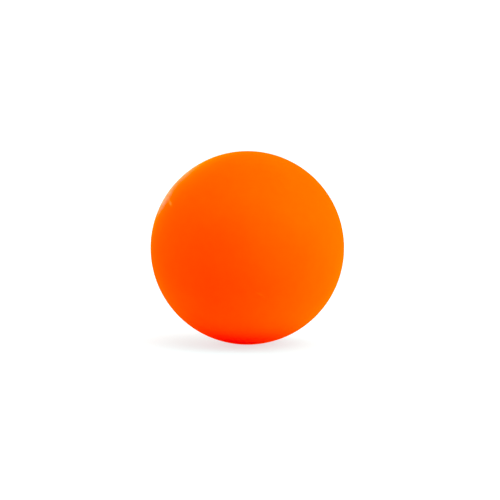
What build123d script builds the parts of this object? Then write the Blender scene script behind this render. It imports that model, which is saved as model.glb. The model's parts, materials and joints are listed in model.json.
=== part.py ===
from build123d import *
import math
import os

# Smooth golf ball of layered build, 42.67 mm across, in millimetres.
# The origin is the ball's centre and +Z is the pole of the cover's moulding axis.
#
# From the inside out the ball is:
#   inner core        one soft rubber sphere
#   outer core        two firm rubber cups, keyed together on the plane X = 0
#   mantle            two thin ionomer half-shells, butted on the plane Y = 0
#   cover             two urethane half-shells, butted on the plane Z = 0
#   primer coat       one continuous white sprayed film
#   lacquer coat      one continuous matte orange sprayed film, the outer skin
# The three parting planes are square to one another, so no two seams line up.
#
# Every sphere stops at a small flat at each pole, so that no face runs to a point.
# The flat lies less than a thousandth of a millimetre inside the sphere.

# ---------------------------------------------------------------- layers
BALL_D = 42.67            # finished diameter, the smallest the rules of golf allow
LACQUER_T = 0.040         # lacquer film
PRIMER_T = 0.025          # primer film
COVER_T = 0.760           # cover wall
MANTLE_T = 0.870          # mantle wall
INNER_CORE_D = 27.00
POLE_FLAT_R = 0.15        # radius of the flat that closes each sphere at its poles

# Outside radius of each layer
R_LACQUER = BALL_D / 2
R_PRIMER = R_LACQUER - LACQUER_T
R_COVER = R_PRIMER - PRIMER_T
R_MANTLE = R_COVER - COVER_T
R_OUTER_CORE = R_MANTLE - MANTLE_T
R_INNER_CORE = INNER_CORE_D / 2

# ---------------------------------------------------------------- outer core key
KEY_MID_R = (R_INNER_CORE + R_OUTER_CORE) / 2   # middle of the wall
KEY_W = 1.60              # width of the tongue, across the wall
KEY_H = 0.80              # how far the tongue stands out of the rim
KEY_SIDE_GAP = 0.02       # running gap on each flank of the tongue
KEY_END_GAP = 0.05        # gap at the tongue's crest
KEY_CHAMFER = 0.20        # on the tongue's crest and the groove's floor
TONGUE_ROOT = 0.2         # how far the tongue reaches into its own cup, to fuse
GROOVE_OVERCUT = 1.0      # how far the groove cutter runs out past the rim

# ---------------------------------------------------------------- mantle pin marks
PIN_COUNT = 4             # retractable support pins round each mantle pole
PIN_R = 0.75              # radius of a support pin's witness mark
PIN_DEPTH = 0.06          # how far the mark is sunk in the mantle's outside
PIN_LATITUDE = 62.0       # degrees from the mantle's parting plane
PIN_CUTTER_L = 2.0        # long enough to run clear of the mantle


# ---------------------------------------------------------------- shared shapes
def flat_height(radius):
    """Distance of the pole flat from the centre of a sphere."""
    return math.sqrt(radius * radius - POLE_FLAT_R * POLE_FLAT_R)


def flat_angle(radius):
    """Latitude, in degrees, at which a sphere gives way to its pole flat."""
    return math.degrees(math.acos(POLE_FLAT_R / radius))


def ball(radius):
    """A solid sphere with its poles on Z."""
    top = flat_height(radius)
    angle = flat_angle(radius)
    with BuildPart() as sphere:
        with BuildSketch(Plane.XZ):
            with BuildLine():
                CenterArc((0, 0), radius, -angle, 2 * angle)
                Polyline((POLE_FLAT_R, top), (0, top), (0, -top), (POLE_FLAT_R, -top))
            make_face()
        revolve(axis=Axis.Z)
    return sphere.part


def half_shell(r_in, r_out):
    """Half of a hollow sphere above the plane Z = 0, open side down."""
    top_in, top_out = flat_height(r_in), flat_height(r_out)
    with BuildPart() as shell:
        with BuildSketch(Plane.XZ):
            with BuildLine():
                Line((r_in, 0), (r_out, 0))
                CenterArc((0, 0), r_out, 0, flat_angle(r_out))
                Polyline((POLE_FLAT_R, top_out), (0, top_out), (0, top_in), (POLE_FLAT_R, top_in))
                CenterArc((0, 0), r_in, 0, flat_angle(r_in))
            make_face()
        revolve(axis=Axis.Z)
    return shell.part


def film(r_in, r_out):
    """A closed hollow sphere: one continuous sprayed film."""
    return ball(r_out) - ball(r_in)


def key_ring(width, bottom, top):
    """A ring about Z, centred in the outer core wall, with both top edges chamfered."""
    r_in, r_out = KEY_MID_R - width / 2, KEY_MID_R + width / 2
    outline = [
        (r_in, bottom),
        (r_out, bottom),
        (r_out, top - KEY_CHAMFER),
        (r_out - KEY_CHAMFER, top),
        (r_in + KEY_CHAMFER, top),
        (r_in, top - KEY_CHAMFER),
    ]
    with BuildPart() as ring:
        with BuildSketch(Plane.XZ):
            with BuildLine():
                Polyline(*outline, close=True)
            make_face()
        revolve(axis=Axis.Z)
    return ring.part


# ---------------------------------------------------------------- pieces
# Each cup is made about Z, open side down, and turned to its place in PARTS.
def tongue_cup():
    """Outer core cup with the tongue standing down from its rim."""
    tongue = Rotation(180, 0, 0) * key_ring(KEY_W, -TONGUE_ROOT, KEY_H)
    return half_shell(R_INNER_CORE, R_OUTER_CORE) + tongue


def groove_cup():
    """Outer core cup with the groove cut up into its rim."""
    groove = key_ring(KEY_W + 2 * KEY_SIDE_GAP, -GROOVE_OVERCUT, KEY_H + KEY_END_GAP)
    return half_shell(R_INNER_CORE, R_OUTER_CORE) - groove


def mantle_cup():
    """Mantle half-shell with a ring of round pin marks sunk in its outside."""
    cup = half_shell(R_OUTER_CORE, R_MANTLE)
    cutter = Pos(0, 0, R_MANTLE - PIN_DEPTH) * Cylinder(
        PIN_R, PIN_CUTTER_L, align=(Align.CENTER, Align.CENTER, Align.MIN)
    )
    for i in range(PIN_COUNT):
        turn = 360.0 / PIN_COUNT * (i + 0.5)
        cup = cup - Rotation(0, 0, turn) * Rotation(0, 90.0 - PIN_LATITUDE, 0) * cutter
    return cup


def cover_cup():
    """Plain cover half-shell."""
    return half_shell(R_MANTLE, R_COVER)


# ---------------------------------------------------------------- placing and export
PARTS = {
    "inner_core": ball(R_INNER_CORE),
    "outer_core_left": Rotation(0, -90, 0) * groove_cup(),     # pole on -X
    "outer_core_right": Rotation(0, 90, 0) * tongue_cup(),     # pole on +X
    "mantle_front": Rotation(90, 0, 0) * mantle_cup(),         # pole on -Y
    "mantle_back": Rotation(-90, 0, 0) * mantle_cup(),         # pole on +Y
    "cover_lower": Rotation(180, 0, 0) * cover_cup(),          # pole on -Z
    "cover_upper": cover_cup(),                                # pole on +Z
    "primer_coat": film(R_COVER, R_PRIMER),
    "lacquer_coat": film(R_PRIMER, R_LACQUER),
}

os.makedirs("parts", exist_ok=True)
for name, shape in PARTS.items():
    solid = shape.solids()[0]    # every piece is a single solid
    solid.label = name
    export_step(solid, os.path.join("parts", name + ".step"))
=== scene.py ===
"""A golf-sized ball in fluorescent orange lacquer, centred on the origin and resting on a white floor.

The camera looks from -Y. Lengths are in metres unless a name or comment says mm.
The layers under the lacquer keep their CAD shapes and get materials. The lacquer is a new mesh.
"""
import json
import math
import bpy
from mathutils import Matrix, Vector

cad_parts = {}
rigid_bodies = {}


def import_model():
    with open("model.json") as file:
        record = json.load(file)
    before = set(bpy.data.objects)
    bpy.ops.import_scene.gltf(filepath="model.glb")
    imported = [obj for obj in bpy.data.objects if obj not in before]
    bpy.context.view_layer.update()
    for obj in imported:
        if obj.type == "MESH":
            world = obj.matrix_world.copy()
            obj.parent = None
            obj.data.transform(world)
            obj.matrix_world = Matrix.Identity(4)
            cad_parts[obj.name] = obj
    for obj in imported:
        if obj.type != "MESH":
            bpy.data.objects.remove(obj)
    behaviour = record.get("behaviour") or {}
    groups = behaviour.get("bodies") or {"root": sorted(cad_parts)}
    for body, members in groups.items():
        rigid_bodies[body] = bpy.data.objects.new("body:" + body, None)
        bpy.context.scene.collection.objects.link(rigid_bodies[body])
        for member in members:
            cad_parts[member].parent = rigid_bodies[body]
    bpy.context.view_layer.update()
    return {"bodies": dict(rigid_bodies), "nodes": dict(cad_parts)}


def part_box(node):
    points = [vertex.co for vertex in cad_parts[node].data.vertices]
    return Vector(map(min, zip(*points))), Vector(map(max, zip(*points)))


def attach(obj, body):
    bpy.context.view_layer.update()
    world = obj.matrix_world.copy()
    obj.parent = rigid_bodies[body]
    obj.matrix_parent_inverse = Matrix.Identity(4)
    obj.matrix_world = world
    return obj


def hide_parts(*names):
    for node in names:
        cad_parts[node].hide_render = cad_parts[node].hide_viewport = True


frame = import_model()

from types import SimpleNamespace

import bpy
import bmesh
import numpy as np
from mathutils import Vector, noise

scene = bpy.context.scene


# ------------------------------------------------------------------ sizes and directions
def radius_of(node):
    """Half the longest side of a CAD piece's box."""
    lo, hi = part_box(node)
    return max(hi.x - lo.x, hi.y - lo.y, hi.z - lo.z) / 2


MM = 0.001
BALL_RADIUS = radius_of("lacquer_coat")
BALL_MM = BALL_RADIUS / MM
FILM_GAP = 0.002 * MM                           # between the primer and the inside of the lacquer
FILM_INNER_RADIUS = radius_of("primer_coat") + FILM_GAP
OUTER_CELLS, INNER_CELLS = 96, 48               # cells along each cube edge of the film's spheres


def unit(azimuth, elevation):
    """Direction for an azimuth (0 faces -Y, 90 faces +X) and an elevation, in degrees."""
    a, e = math.radians(azimuth), math.radians(elevation)
    return Vector((math.sin(a) * math.cos(e), -math.cos(a) * math.cos(e), math.sin(e)))


# ------------------------------------------------------------------ relief of the lacquer
# orange peel: height in mm, waves per mm, offset of the noise
PEEL = [
    (0.0022, 0.42, (0, 0, 0)),
    (0.0016, 0.95, (7, 3, 1)),
]
MARK_STEPS = 6              # spans between the points that follow a mark
# colour of rubbed lacquer with white showing through, also used as the marks' painted highlight
MARK_REACH_COS = 0.970      # a mark shapes only directions closer than this to its middle
REFINE_REACH_COS = 0.95     # the same limit for the finer mesh
REFINE_SPREADS = (0.100, 0.080, 0.062)          # in ball radii from a mark, one subdivision each
EDGE_WANDER = 0.30          # share by which a mark's half width varies
WANDER_WAVES = 2.3          # waves of that per mm
WANDER_OFFSET = Vector((2, 9, 4))
FADE_LENGTH = 0.22          # share of a mark's length over which it fades from its deepest place
END_FADE, END_POWER = 0.6, 5                    # how far and how sharply the ends fade
CUTOFF = 5                  # a mark ends here; this and the next three are in half widths
LIP_AT = 1.9                # where the raised lip stands
LIP_SPREAD = 0.6            # divisor in the lip's bell curve
RUB_AND_HIGHLIGHT_WIDTH = 1.5             # width of the rubbed, paler pigment, which also paints a highlight along each mark


def make_mark(start, end, **shape):
    """A mark between two directions, with the points and vectors that its relief needs."""
    start, end = unit(*start), unit(*end)
    mark = SimpleNamespace(**shape)
    mark.middle = (start + end).normalized()
    mark.line = [
        (start * (1 - k / MARK_STEPS) + end * k / MARK_STEPS).normalized()
        for k in range(MARK_STEPS + 1)
    ]
    mark.start = start * BALL_MM
    mark.span = end * BALL_MM - mark.start
    mark.side = mark.middle.cross(mark.span).normalized()
    return mark


# ends as (azimuth, elevation); half width, depth, lip and bow in mm; peak is where along it is
# deepest, 0 to 1; rest is the share left away from there; the last number is how far the pigment is
# rubbed paler, which also paints a highlight along the mark
MARKS = [
    # nick
    make_mark(start=(-72.3, 31.8), end=(-57.3, 26.8), half=0.26, depth=0.031, lip=0.018,
              bow=0.05, peak=0.70, rest=0.22, pale=0.60),
    # hairline
    make_mark(start=(5.2, -21.7), end=(11.2, -24.8), half=0.11, depth=0.012, lip=0.004,
              bow=0.08, peak=0.45, rest=0.45, pale=0.14),
]


def relief(direction):
    """Height above the true sphere in mm in a direction, and how far the pigment there is rubbed
    paler; that paler colour also paints the marks' highlights.
    """
    place = direction * BALL_MM
    height = sum(
        size * noise.noise(place * waves + Vector(offset)) for size, waves, offset in PEEL
    )
    rub_and_highlight = 0.0
    for mark in MARKS:
        if direction.dot(mark.middle) < MARK_REACH_COS:
            continue
        length = mark.span.length
        along = (place - mark.start).dot(mark.span) / (length * length)
        along = max(0.0, min(1.0, along))
        bow = mark.side * (mark.bow * math.sin(math.pi * along))
        centre = (mark.start + mark.span * along + bow).normalized() * BALL_MM
        # the edge wanders a little, as a real scrape's does
        wander = 1.0 + EDGE_WANDER * noise.noise(place * WANDER_WAVES + WANDER_OFFSET)
        off = (place - centre).length / (mark.half * wander)
        if off >= CUTOFF:
            continue
        bell = math.exp(-(((along - mark.peak) / FADE_LENGTH) ** 2))
        fade = mark.rest + (1 - mark.rest) * bell
        fade *= 1.0 - abs(2 * along - 1) ** END_POWER * END_FADE
        height -= mark.depth * fade * math.exp(-off * off)
        height += mark.lip * fade * math.exp(-((off - LIP_AT) ** 2) / LIP_SPREAD)
        # paler, rubbed pigment along the mark, which is also its painted highlight
        rub_and_highlight = max(rub_and_highlight, mark.pale * fade * math.exp(-((off / RUB_AND_HIGHLIGHT_WIDTH) ** 2)))
    return height, rub_and_highlight


# ------------------------------------------------------------------ the lacquer film
def cube_sphere(cells):
    """Unit vectors and outward quads of a sphere made from a cube, evened by angle."""
    steps = np.tan(np.linspace(-math.pi / 4, math.pi / 4, cells + 1))
    index_of, points, quads = {}, [], []
    # each face's outward axis and the two axes across it
    faces = [
        ((1, 0, 0), (0, 1, 0), (0, 0, 1)), ((-1, 0, 0), (0, 0, 1), (0, 1, 0)),
        ((0, 1, 0), (0, 0, 1), (1, 0, 0)), ((0, -1, 0), (1, 0, 0), (0, 0, 1)),
        ((0, 0, 1), (1, 0, 0), (0, 1, 0)), ((0, 0, -1), (0, 1, 0), (1, 0, 0)),
    ]
    for face in faces:
        outward, across, up = (np.array(axis, float) for axis in face)
        grid = np.empty((cells + 1, cells + 1), int)
        for i in range(cells + 1):
            for j in range(cells + 1):
                point = outward + across * steps[i] + up * steps[j]
                point = point / np.linalg.norm(point)
                # faces share the points along their edges
                key = tuple(int(round(c * 1e6)) for c in point)
                if key not in index_of:
                    index_of[key] = len(points)
                    points.append(point)
                grid[i, j] = index_of[key]
        for i in range(cells):
            for j in range(cells):
                quads.append((grid[i, j], grid[i + 1, j], grid[i + 1, j + 1], grid[i, j + 1]))
    return points, quads


def add_sphere(bm, cells, radius=1.0, inward=False):
    points, quads = cube_sphere(cells)
    verts = [bm.verts.new(Vector(point) * radius) for point in points]
    for quad in quads:
        bm.faces.new([verts[k] for k in (reversed(quad) if inward else quad)])
    bm.normal_update()


def refine_near_marks(bm):
    """Subdivide the unit sphere in narrowing bands round the marks."""
    line = [point for mark in MARKS for point in mark.line]
    for spread in REFINE_SPREADS:
        edges = set()
        for face in bm.faces:
            c = face.calc_center_median().normalized()
            if (any(c.dot(mark.middle) > REFINE_REACH_COS for mark in MARKS)
                    and any((c - point).length < spread for point in line)):
                edges.update(face.edges)
        bmesh.ops.subdivide_edges(bm, edges=list(edges), cuts=1, use_grid_fill=True)


def film_mesh(name):
    """An outer sphere with relief, fine around the marks, and a plain inner one facing inwards."""
    bm = bmesh.new()
    add_sphere(bm, OUTER_CELLS)
    refine_near_marks(bm)
    # share of rubbed, paler pigment at each point, which also paints the marks' highlights
    rub_and_highlight = bm.verts.layers.float.new("rub_and_highlight")
    for v in bm.verts:
        direction = v.co.normalized()
        height, v[rub_and_highlight] = relief(direction)
        v.co = direction * (BALL_RADIUS + height * MM)
    add_sphere(bm, INNER_CELLS, radius=FILM_INNER_RADIUS, inward=True)
    mesh = bpy.data.meshes.new(name)
    bm.to_mesh(mesh)
    bm.free()
    mesh.polygons.foreach_set("use_smooth", [True] * len(mesh.polygons))
    mesh.update()
    return mesh


# ------------------------------------------------------------------ node building
class Graph:
    """Builds the nodes of a material or world. Most methods return an output socket."""

    def __init__(self, owner):
        owner.use_nodes = True
        self.tree = owner.node_tree
        self.tree.nodes.clear()

    def add(self, kind, inputs=(), **settings):
        """A node with its settings; inputs by name or in order, each a socket or a value."""
        node = self.tree.nodes.new("ShaderNode" + kind)
        for name, value in settings.items():
            setattr(node, name, value)
        pairs = inputs.items() if isinstance(inputs, dict) else enumerate(inputs)
        for key, value in pairs:
            socket = node.inputs[key]
            if isinstance(value, bpy.types.NodeSocket):
                self.tree.links.new(value, socket)
            else:
                socket.default_value = (*value, 1) if socket.type == "RGBA" else value
        return node

    def math(self, operation, *inputs, clamp=False):
        return self.add("Math", inputs, operation=operation, use_clamp=clamp).outputs[0]

    def plus(self, a, b, clamp=False):
        return self.math("ADD", a, b, clamp=clamp)

    def times(self, a, b):
        return self.math("MULTIPLY", a, b)

    def vector(self, operation, *inputs, out=0):
        return self.add("VectorMath", inputs, operation=operation).outputs[out]

    def remap(self, value, to, span=(0.3, 0.7), smooth=False):
        """Values over span, by default the usual spread of a noise, clamped on to the range to."""
        inputs = {"Value": value, "From Min": span[0], "From Max": span[1],
                  "To Min": to[0], "To Max": to[1]}
        kind = "SMOOTHSTEP" if smooth else "LINEAR"
        return self.add("MapRange", inputs, interpolation_type=kind).outputs["Result"]

    def ramp(self, fac, stops, interpolation="LINEAR"):
        """Colour against fac, from (position, colour) stops."""
        node = self.add("ValToRGB", [fac])
        node.color_ramp.interpolation = interpolation
        elements = node.color_ramp.elements
        while len(elements) > 1:
            elements.remove(elements[-1])
        elements[0].position, first = stops[0]
        elements[0].color = (*first, 1)
        for position, colour in stops[1:]:
            elements.new(position).color = (*colour, 1)
        return node.outputs["Color"]

    def mix(self, fac, a, b):
        return self.add("Mix", {0: fac, 6: a, 7: b}, data_type="RGBA").outputs[2]

    def tint(self, base, mask, strength, colour):
        """The base colour turned towards another by strength where the mask is 1."""
        return self.mix(self.times(mask, strength), base, colour)

    def lobe(self, direction, axis, power):
        """1 along the axis, falling as a power of the cosine to 0 at right angles."""
        cosine = self.vector("DOT_PRODUCT", direction, axis, out="Value")
        return self.math("POWER", self.math("MAXIMUM", cosine, 0.0), power)

    def mix_shader(self, fac, a, b):
        return self.add("MixShader", [fac, a, b]).outputs[0]

    def emit(self, strength, kind="Emission"):
        """White light, as an Emission or Background node."""
        return self.add(kind, {"Color": (1, 1, 1), "Strength": strength}).outputs[0]

    def camera_split(self, lights, seen):
        """One shader for the light that reaches the ball, another for the camera."""
        camera = self.add("LightPath").outputs["Is Camera Ray"]
        return self.mix_shader(camera, lights, seen)

    def output(self, kind, shader):
        self.add(kind, {"Surface": shader})


class Surface(Graph):
    """A Principled material whose textures are placed by object coordinates in mm."""

    def __init__(self, name):
        self.material = bpy.data.materials.new(name)
        super().__init__(self.material)
        place = self.add("TexCoord").outputs["Object"]
        scale = self.add("VectorMath", {0: place, "Scale": 1 / MM}, operation="SCALE")
        self.place = scale.outputs[0]

    def shifted(self, place, seed):
        """Coordinates moved so that textures with other seeds don't line up."""
        return self.vector("ADD", place, (37.1 * seed, 11.7 * seed, 23.3 * seed))

    def stretched(self, axis, along, across):
        """Coordinates scaled along one axis and across it; a small scale makes long features."""
        scale = tuple(along if k == axis else across for k in range(3))
        return self.vector("MULTIPLY", self.place, scale)

    def noise(self, wave, seed, detail=3.0, rough=0.5, distort=0.0, place=None):
        """Noise whose largest features are about wave mm across."""
        return self.add("TexNoise", {
            "Vector": self.shifted(place or self.place, seed), "Scale": 1.0 / wave,
            "Detail": detail, "Roughness": rough, "Distortion": distort,
        }).outputs["Fac"]

    def cells(self, size, seed):
        """Voronoi cells about size mm apart: outputs Distance, in cells, and random Color."""
        return self.add("TexVoronoi", {
            "Vector": self.shifted(self.place, seed), "Scale": 1.0 / size,
        }).outputs

    def specks(self, cell, radius, share, seed):
        """1 inside round specks of radius (in cells) in the given share of cells, 0 outside."""
        cells = self.cells(cell, seed)
        chance, size = self.add("SeparateColor", [cells["Color"]]).outputs[:2]
        present = self.remap(chance, span=(share - 0.01, share + 0.01), to=(1.0, 0.0))
        edge = self.times(self.remap(size, span=(0.0, 1.0), to=(0.45, 1.0)), radius)
        reach = self.math("DIVIDE", cells["Distance"], edge)
        inside = self.remap(reach, span=(0.75, 1.05), to=(1.0, 0.0), smooth=True)
        return self.times(inside, present)

    def near_plane(self, axis, full, none):
        """1 within full mm of the plane where the axis coordinate is 0, and 0 from none mm."""
        height = self.add("SeparateXYZ", [self.place]).outputs[axis]
        distance = self.math("ABSOLUTE", height)
        return self.remap(distance, span=(full, none), to=(1.0, 0.0), smooth=True)

    def spot(self, azimuth, elevation, full, none, most):
        """A round spot on the ball: most within full degrees of its middle, 0 from none."""
        outward = self.vector("NORMALIZE", self.place)
        cosine = self.vector("DOT_PRODUCT", outward, unit(azimuth, elevation), out="Value")
        degrees = self.times(self.math("ARCCOSINE", cosine), 180 / math.pi)
        return self.remap(degrees, span=(full, none), to=(most, 0.0), smooth=True)

    def bump(self, height, depth):
        """A normal from a height whose full range is depth mm."""
        return self.add("Bump", {"Distance": depth * MM, "Height": height}).outputs["Normal"]

    def finish(self, inputs):
        """Close the material with a Principled shader."""
        self.output("OutputMaterial", self.add("BsdfPrincipled", inputs).outputs[0])
        return self.material


# ------------------------------------------------------------------ the orange lacquer
# spots as azimuth, elevation, degrees of full and of no effect, most effect
# polished by handling beside the nick: coat weight
POLISHED = [(-81, 31.5, 3, 15, 1.00), (-82, 41, 2, 14, 0.70), (-82, 50, 2, 15, 0.75)]
# haze of fine handling scuffs over that upper -X shoulder: sheen weight
HAZE = (-96, 42, 14, 52, 0.65)
SHEEN = 0.20                            # sheen weight all over
PIGMENT = [                             # colour against film thickness
    (0.30, (1.0, 0.088, 0.0)),
    (0.50, (1.0, 0.098, 0.0)),
    (0.70, (1.0, 0.108, 0.0)),
]
RUBBED_AND_HIGHLIGHT = (1.0, 0.33, 0.06)


def orange_lacquer():
    s = Surface("lacquer_sprayed")
    # film thickness: slow drift over the ball, then a fine pigment mottle
    drift = s.noise(wave=14.0, detail=2.0, distort=0.3, seed=1.7)
    mottle = s.noise(wave=1.6, detail=4.0, rough=0.55, seed=4.1)
    grain = s.noise(wave=0.22, detail=2.0, rough=0.6, seed=9.3)
    thick = s.plus(s.times(drift, 0.55), s.times(mottle, 0.30))
    thick = s.plus(thick, s.times(grain, 0.15))
    # where a mark has rubbed the film thin the white under it shows through; this paler colour also
    # paints the highlight on the nick and the hairline
    rub_and_highlight = s.add("Attribute", attribute_name="rub_and_highlight").outputs["Fac"]
    rub_and_highlight = s.times(rub_and_highlight, s.remap(grain, span=(0.30, 0.62), to=(0.55, 1.0)))
    colour = s.mix(rub_and_highlight, s.ramp(thick, PIGMENT), RUBBED_AND_HIGHLIGHT)
    rough = s.plus(s.remap(mottle, to=(0.44, 0.52)), s.remap(grain, to=(-0.03, 0.03)))
    # a faint gloss that shows only at a grazing angle
    shine = s.spot(*POLISHED[0])
    for spot in POLISHED[1:]:
        shine = s.math("MAXIMUM", shine, s.spot(*spot))
    streak = s.noise(wave=1.1, rough=0.55, distort=0.5, seed=6.6,
                     place=s.stretched(axis=2, along=1.6, across=0.5))
    shine = s.times(shine, s.remap(streak, span=(0.32, 0.62), to=(0.45, 1.0)))
    wisps = s.noise(wave=3.2, rough=0.55, distort=0.8, seed=12.5)
    haze = s.times(s.spot(*HAZE), s.remap(wisps, span=(0.30, 0.65), to=(0.7, 1.0)))
    # spray texture finer than the mesh carries
    fine = s.plus(s.noise(wave=0.55, seed=2.2), s.times(grain, 0.35))
    return s.finish({
        "Base Color": colour,
        "Roughness": rough,
        "Specular IOR Level": 0.0,
        "Specular Tint": (1.0, 0.55, 0.02),
        "Coat Weight": shine,
        "Coat Roughness": 0.30,
        "Coat IOR": 1.27,
        "Sheen Weight": s.plus(haze, SHEEN),
        "Sheen Roughness": 0.35,
        "Sheen Tint": (1.0, 0.50, 0.0),
        # painted glow: a steady red emission that stands for the daylight-fluorescent pigment, which
        # gives back absorbed blue as red-orange, and keeps the shaded underside red
        "Emission Color": (1.0, 0.0, 0.0),
        "Emission Strength": 0.93,
        "Normal": s.bump(fine, depth=0.0028),
    })


# ------------------------------------------------------------------ what the inside is made of
FILLER = (0.78, 0.79, 0.76)             # pale specks in the rubber


def core_rubber(name, dark, mid, light, fleck, seam_axis, seed):
    """Filled rubber: cure drift, regrind flecks, filler specks, a ground surface, a flash line."""
    s = Surface(name)
    drift = s.noise(wave=9.0, distort=0.6, seed=seed)
    colour = s.ramp(drift, [(0.30, dark), (0.50, mid), (0.72, light)])
    regrind = s.specks(cell=1.3, radius=0.34, share=0.30, seed=seed + 1)
    colour = s.tint(colour, regrind, strength=0.45, colour=fleck)
    filler = s.specks(cell=0.50, radius=0.17, share=0.45, seed=seed + 2)
    colour = s.tint(colour, filler, strength=0.65, colour=FILLER)
    pitting = s.noise(wave=0.35, detail=4.0, rough=0.6, seed=seed + 3)
    grinding = s.noise(wave=1.6, rough=0.6, seed=seed + 4,
                       place=s.stretched(axis=0, along=0.35, across=6.0))
    height = s.plus(pitting, s.times(grinding, 0.9))
    rough = s.remap(drift, to=(0.66, 0.80))
    if seam_axis is not None:
        flash = s.near_plane(seam_axis, full=0.06, none=0.30)
        colour = s.tint(colour, flash, strength=0.35, colour=dark)
        height = s.plus(height, s.times(flash, 0.8))
        rough = s.math("SUBTRACT", rough, s.times(flash, 0.18))
    return s.finish({
        "Base Color": colour,
        "Roughness": rough,
        "Specular IOR Level": 0.35,
        "Normal": s.bump(height, depth=0.020),
    })


def moulded(name, low, high, stain, gloss, seam_axis, seed, blasted=0.0):
    """Moulded shell: flow lines, faint specks, a trimmed parting line, polish or blasted grain."""
    s = Surface(name)
    streaks = s.noise(wave=5.0, detail=5.0, rough=0.55, distort=1.8, seed=seed,
                      place=s.stretched(seam_axis, along=0.30, across=1.0))
    colour = s.ramp(streaks, [(0.30, low), (0.70, high)])
    dirt = s.specks(cell=2.4, radius=0.060, share=0.22, seed=seed + 1)
    colour = s.tint(colour, dirt, strength=0.55, colour=stain)
    trim = s.near_plane(seam_axis, full=0.10, none=0.55)
    colour = s.tint(colour, trim, strength=0.30, colour=stain)
    grain = s.noise(wave=0.16, rough=0.65, seed=seed + 2)
    scratch = s.noise(wave=2.2, detail=2.0, distort=0.4, seed=seed + 3,
                      place=s.stretched(seam_axis, along=0.5, across=7.0))
    rough = s.remap(streaks, to=(gloss - 0.04, gloss + 0.06))
    height = s.plus(s.times(grain, 0.35 + blasted), s.times(s.times(scratch, trim), 1.2))
    return s.finish({
        "Base Color": colour,
        "Roughness": s.plus(rough, s.times(trim, 0.14), clamp=True),
        "Normal": s.bump(height, depth=0.012),
    })


def white_primer():
    """Sprayed white film: stippled, matte, thin enough in places for the cover's warmth."""
    s = Surface("primer_sprayed")
    cloud = s.noise(wave=7.0, distort=0.4, seed=21.0)
    colour = s.ramp(cloud, [
        (0.28, (0.84, 0.82, 0.77)),
        (0.50, (0.92, 0.915, 0.89)),
        (0.70, (0.95, 0.95, 0.935)),
    ])
    dimples = s.cells(size=0.30, seed=22.0)["Distance"]
    stipple = s.noise(wave=0.22, rough=0.6, seed=23.0)
    return s.finish({
        "Base Color": colour,
        "Roughness": s.remap(stipple, to=(0.68, 0.84)),
        "Specular IOR Level": 0.3,
        "Normal": s.bump(s.plus(stipple, s.times(dimples, 0.6)), depth=0.010),
    })


def dress(material, *nodes):
    for node in nodes:
        slots = frame["nodes"][node].data.materials
        slots.clear()
        slots.append(material)


# a seam axis of 0, 1 or 2 is the x, y or z that is 0 on the parting plane
dress(core_rubber(
    "rubber_soft_core", dark=(0.028, 0.115, 0.33), mid=(0.045, 0.16, 0.42),
    light=(0.075, 0.21, 0.50), fleck=(0.02, 0.07, 0.22), seam_axis=None, seed=31.0,
), "inner_core")
dress(core_rubber(
    "rubber_firm_core", dark=(0.30, 0.030, 0.026), mid=(0.42, 0.050, 0.040),
    light=(0.50, 0.075, 0.055), fleck=(0.16, 0.02, 0.02), seam_axis=0, seed=41.0,
), "outer_core_left", "outer_core_right")
dress(moulded(
    "ionomer_mantle", low=(0.72, 0.75, 0.72), high=(0.83, 0.85, 0.80),
    stain=(0.50, 0.50, 0.44), gloss=0.30, seam_axis=1, seed=51.0,
), "mantle_front", "mantle_back")
dress(moulded(
    "urethane_cover", low=(0.84, 0.81, 0.74), high=(0.92, 0.90, 0.85),
    stain=(0.58, 0.54, 0.45), gloss=0.46, seam_axis=2, seed=61.0, blasted=0.65,
), "cover_lower", "cover_upper")
dress(white_primer(), "primer_coat")

skin = bpy.data.objects.new("lacquer_skin", film_mesh("lacquer_skin"))
scene.collection.objects.link(skin)
skin.data.materials.append(orange_lacquer())
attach(skin, "root" if "root" in frame["bodies"] else next(iter(frame["bodies"])))
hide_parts("lacquer_coat")

# ------------------------------------------------------------------ floor
FLOOR_HALF = 8.0
FLOOR_REACH = 6.0           # ball radii over which the floor's profiles run
# floor colour for the camera: distance from the contact point in radii, colour; under the ball it is
# painted blue-green to cancel the ball's red glow
FLOOR_SEEN = [
    (0.5, (0.41, 0.88, 0.89)),          # painted blue-green under the ball, to cancel the red glow that falls there
    (2.0, (0.92, 0.94, 0.94)),
]
FLOOR_LIT = 0.60            # share of the floor's look evenly lit from below, as a light table is
TABLE_STRENGTH = 1.12
# light sent on to the ball: name, direction it lies in (None for all round),
# then stops of distance in radii and strength
FLOOR_RINGS = [
    ("ALL", None, [(0, 0.00), (0.3, 0.00), (0.6, 0.00), (0.9, 0.00), (6, 0.00)]),
    ("PX", (1, 0, 0), [(0.6, 0.00), (1, 2.26), (1.7, 1.51), (3, 2.06), (6, 1.53)]),
    ("NX", (-1, 0, 0), [(0.6, 0.00), (1, 0.47), (1.7, 2.44), (3, 0.76), (6, 0.44)]),
    ("PY", (0, 1, 0), [(0.6, 0.00), (1, 0.59), (1.7, 0.80), (3, 0.79), (6, 0.73)]),
    ("NY", (0, -1, 0), [(0.6, 0.00), (1, 1.33), (1.7, 0.00), (3, 0.00), (6, 1.15)]),
]


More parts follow.
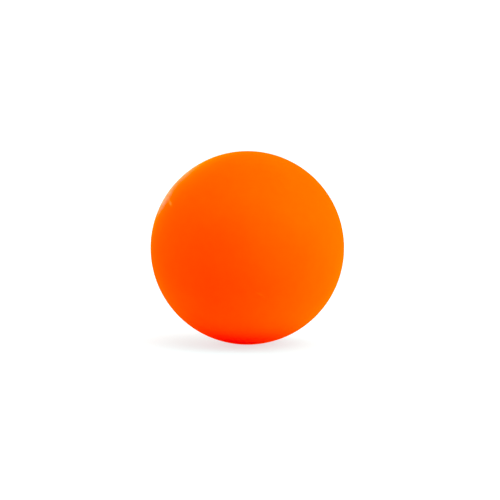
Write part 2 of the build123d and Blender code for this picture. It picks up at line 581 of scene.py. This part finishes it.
def floor_material():
    material = bpy.data.materials.new("floor_white")
    g = Graph(material)
    position = g.add("NewGeometry").outputs["Position"]
    flat = g.vector("MULTIPLY", position, (1, 1, 0))
    away = g.vector("LENGTH", flat, out="Value")
    share = g.math("DIVIDE", away, BALL_RADIUS * FLOOR_REACH, clamp=True)
    side = g.vector("NORMALIZE", flat)
    total = None
    for name, axis, stops in FLOOR_RINGS:
        ring = g.ramp(share, [(at / FLOOR_REACH, (value,) * 3) for at, value in stops])
        ring.node.name = "FLOOR_" + name
        part = g.times(ring, 1.0)
        if axis is not None:
            part = g.times(part, g.lobe(side, axis, power=2.0))
        total = part if total is None else g.plus(total, part)
    # the camera's floor colour, painted blue-green under the ball to cancel its red glow
    colour = g.ramp(share, [(at / FLOOR_REACH, c) for at, c in FLOOR_SEEN], "EASE")
    matte = g.add("BsdfDiffuse", {"Color": colour}).outputs[0]
    look = g.mix_shader(FLOOR_LIT, matte, g.emit(TABLE_STRENGTH))
    g.output("OutputMaterial", g.camera_split(lights=g.emit(total), seen=look))
    return material


def make_floor():
    mesh = bpy.data.meshes.new("floor")
    corners = [(-1, -1), (1, -1), (1, 1), (-1, 1)]
    points = [(x * FLOOR_HALF, y * FLOOR_HALF, -BALL_RADIUS) for x, y in corners]
    mesh.from_pydata(points, [], [(0, 1, 2, 3)])
    floor = bpy.data.objects.new("floor", mesh)
    scene.collection.objects.link(floor)
    mesh.materials.append(floor_material())


# ------------------------------------------------------------------ sky
# soft boxes round the ball, as lobes of the sky: azimuth, elevation, power, strength
LOBES = [
    (0, 90, 6, 1.14),
    (45, 50, 6, 3.02), (135, 50, 6, 0.27), (225, 50, 6, 0.64),
    (45, 15, 8, 1.78), (90, 15, 8, 3.08), (135, 15, 8, 0.19),
    (180, 15, 8, 0.94), (225, 15, 8, 1.25),
    (235, 5, 30, 5.73), (235, 30, 30, 1.28),
    (250, 25, 60, 4.18),
    (262, 10, 80, 0.55), (262, 30, 80, 4.22),
    (110, 10, 60, 2.63),
    (330, 75, 12, 0.07),
]
SKY_BASE = 0.00             # light from every direction
BACKDROP_STRENGTH = 1.15    # the white that the camera sees


def make_world():
    world = bpy.data.worlds.new("studio")
    scene.world = world
    g = Graph(world)
    direction = g.vector("NORMALIZE", g.add("TexCoord").outputs["Generated"])
    total = g.add("Value", name="BASE").outputs[0]
    total.default_value = SKY_BASE
    for k, (azimuth, elevation, power, strength) in enumerate(LOBES):
        lobe = g.times(g.lobe(direction, unit(azimuth, elevation), power), strength)
        lobe.node.name = f"LOBE{k}"
        total = g.plus(total, lobe)
    lights = g.emit(total, kind="Background")
    seen = g.emit(BACKDROP_STRENGTH, kind="Background")
    g.output("OutputWorld", g.camera_split(lights, seen))


# ------------------------------------------------------------------ camera and colour
CAMERA_ELEVATION = 4.0      # degrees
LENS, SENSOR = 100.0, 36.0  # mm
BALL_SHARE = 0.1937         # the ball's radius as a share of the picture's width


def make_camera():
    """A camera on the -Y side, as far off as gives the ball its share of the picture."""
    data = bpy.data.cameras.new("camera")
    data.lens = LENS
    data.sensor_width = SENSOR
    data.clip_start, data.clip_end = 0.01, 20.0
    data.shift_x, data.shift_y = 0.00532, -0.00434
    camera = bpy.data.objects.new("camera", data)
    scene.collection.objects.link(camera)
    half_angle = math.atan(BALL_SHARE * SENSOR / LENS)
    back = unit(0, CAMERA_ELEVATION)
    camera.location = back * (BALL_RADIUS / math.sin(half_angle))
    camera.rotation_mode = "QUATERNION"
    camera.rotation_quaternion = (-back).to_track_quat("-Z", "Y")
    scene.camera = camera


def set_view():
    view = scene.view_settings
    view.view_transform = "Standard"
    view.look = "None"
    view.exposure = 0.0
    view.gamma = 1.0
    # a touch of black point, so that the deepest shade of the orange is pure red
    view.use_curve_mapping = True
    view.curve_mapping.black_level = (0.010, 0.010, 0.010)
    view.curve_mapping.update()


make_floor()
make_world()
make_camera()
set_view()
